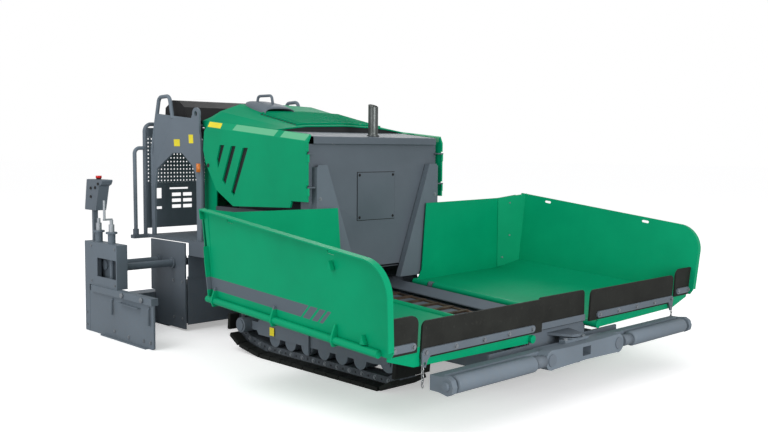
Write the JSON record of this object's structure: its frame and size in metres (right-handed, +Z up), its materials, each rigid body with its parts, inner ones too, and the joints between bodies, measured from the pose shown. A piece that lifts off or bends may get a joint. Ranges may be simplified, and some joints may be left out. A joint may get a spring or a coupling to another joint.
{
  "type": "tracked asphalt paver",
  "caption": "Compact tracked asphalt paver with folding hopper wings, slat conveyor, push rollers, augers, hinged hood doors and a floating screed with sliding extensions.",
  "frame": {"origin": "on the ground under the middle of the machine's box", "axes": "+Z up, -Y forwards to the hopper and push rollers, +X to the machine's left"},
  "size_m": [2.6338, 3.264, 1.5568],
  "materials": {
    "hopper_green": "satin green paint",
    "frame_grey": "satin slate-grey paint",
    "dark_grey": "dark charcoal paint",
    "tower_grey": "satin mid-grey paint",
    "rubber_flap": "matt black rubber",
    "track_pad": "dark track pads and links",
    "chain_steel": "dark worn steel",
    "polished_steel": "bright stainless pipe",
    "console_black": "matt black plastic"
  },
  "bodies": {
    "machine": {"track_left": "track_pad", "track_right": "track_pad", "track_frame_left": "frame_grey", "track_frame_right": "frame_grey", "chassis": "frame_grey", "engine_bay": "dark_grey", "engine_block": "dark_grey", "centre_flap": "rubber_flap", "centre_flap_bar": "frame_grey", "conveyor_trough": "frame_grey", "conveyor_chain": "chain_steel", "auger_housing": "dark_grey", "tower_panel": "tower_grey", "tower_cover": "tower_grey", "exhaust_pipe": "polished_steel", "hood_top": "hopper_green", "air_cowl": "tower_grey", "platform": "dark_grey", "rear_guard": "frame_grey", "perforated_guard": "tower_grey", "control_console": "console_black", "console_stand": "frame_grey", "tower_support_left": "frame_grey", "tower_support_right": "frame_grey", "lift_arch_left": "frame_grey", "lift_arch_right": "frame_grey", "side_rail_left": "frame_grey", "side_rail_right": "frame_grey"},
    "hopper_wing_left_body": {"hopper_wing_left": "hopper_green", "hopper_flaps_left": "rubber_flap", "flap_bars_left": "frame_grey"},
    "hopper_wing_right_body": {"hopper_wing_right": "hopper_green", "hopper_flaps_right": "rubber_flap", "flap_bars_right": "frame_grey"},
    "hood_door_left_body": {"hood_door_left": "hopper_green"},
    "hood_door_right_body": {"hood_door_right": "hopper_green"},
    "auger_left_body": {"auger_left": "chain_steel"},
    "auger_right_body": {"auger_right": "chain_steel"},
    "push_beam_body": {"push_beam": "frame_grey"},
    "push_roller_left_body": {"push_roller_left": "frame_grey"},
    "push_roller_right_body": {"push_roller_right": "frame_grey"},
    "screed_body": {"screed": "dark_grey"},
    "extension_left_body": {"screed_extension_left": "frame_grey", "extension_jacks_left": "frame_grey", "extension_control_box_left": "frame_grey"},
    "extension_right_body": {"screed_extension_right": "frame_grey", "extension_jacks_right": "frame_grey", "extension_control_box_right": "frame_grey"}
  },
  "joints": [
    {"name": "wing_left_fold", "type": "hinge", "parent": "machine", "child": "hopper_wing_left_body", "pos_m": [0.28, -1.48, 0.305], "axis": [0, -0.9982, -0.0593], "range_deg": [0, 50]},
    {"name": "wing_right_fold", "type": "hinge", "parent": "machine", "child": "hopper_wing_right_body", "pos_m": [-0.28, -1.48, 0.305], "axis": [0, 0.9982, 0.0593], "range_deg": [0, 50]},
    {"name": "hood_door_left_open", "type": "hinge", "parent": "machine", "child": "hood_door_left_body", "pos_m": [0.552, -0.127, 1], "axis": [0, 0, -1], "range_deg": [0, 75]},
    {"name": "hood_door_right_open", "type": "hinge", "parent": "machine", "child": "hood_door_right_body", "pos_m": [-0.552, -0.127, 1], "axis": [0, 0, 1], "range_deg": [0, 75]},
    {"name": "auger_left_turn", "type": "hinge", "parent": "machine", "child": "auger_left_body", "pos_m": [0.3, 1.18, 0.185], "axis": [1, 0, 0], "continuous": true},
    {"name": "auger_right_turn", "type": "hinge", "parent": "machine", "child": "auger_right_body", "pos_m": [-0.3, 1.18, 0.185], "axis": [1, 0, 0], "continuous": true},
    {"name": "push_beam_swing", "type": "hinge", "parent": "machine", "child": "push_beam_body", "pos_m": [0, -1.5, 0.23], "axis": [0, 0, 1], "range_deg": [-6, 6]},
    {"name": "push_roller_left_turn", "type": "hinge", "parent": "push_beam_body", "child": "push_roller_left_body", "pos_m": [0.695, -1.59, 0.226], "axis": [1, 0, 0], "continuous": true},
    {"name": "push_roller_right_turn", "type": "hinge", "parent": "push_beam_body", "child": "push_roller_right_body", "pos_m": [-0.695, -1.59, 0.226], "axis": [1, 0, 0], "continuous": true},
    {"name": "screed_lift", "type": "hinge", "parent": "machine", "child": "screed_body", "pos_m": [0, 0.05, 0.36], "axis": [1, 0, 0], "range_deg": [0, 4]},
    {"name": "extension_left_slide", "type": "slide", "parent": "screed_body", "child": "extension_left_body", "axis": [-1, 0, 0], "range_m": [0, 0.33]},
    {"name": "extension_right_slide", "type": "slide", "parent": "screed_body", "child": "extension_right_body", "axis": [1, 0, 0], "range_m": [0, 0.33]}
  ]
}
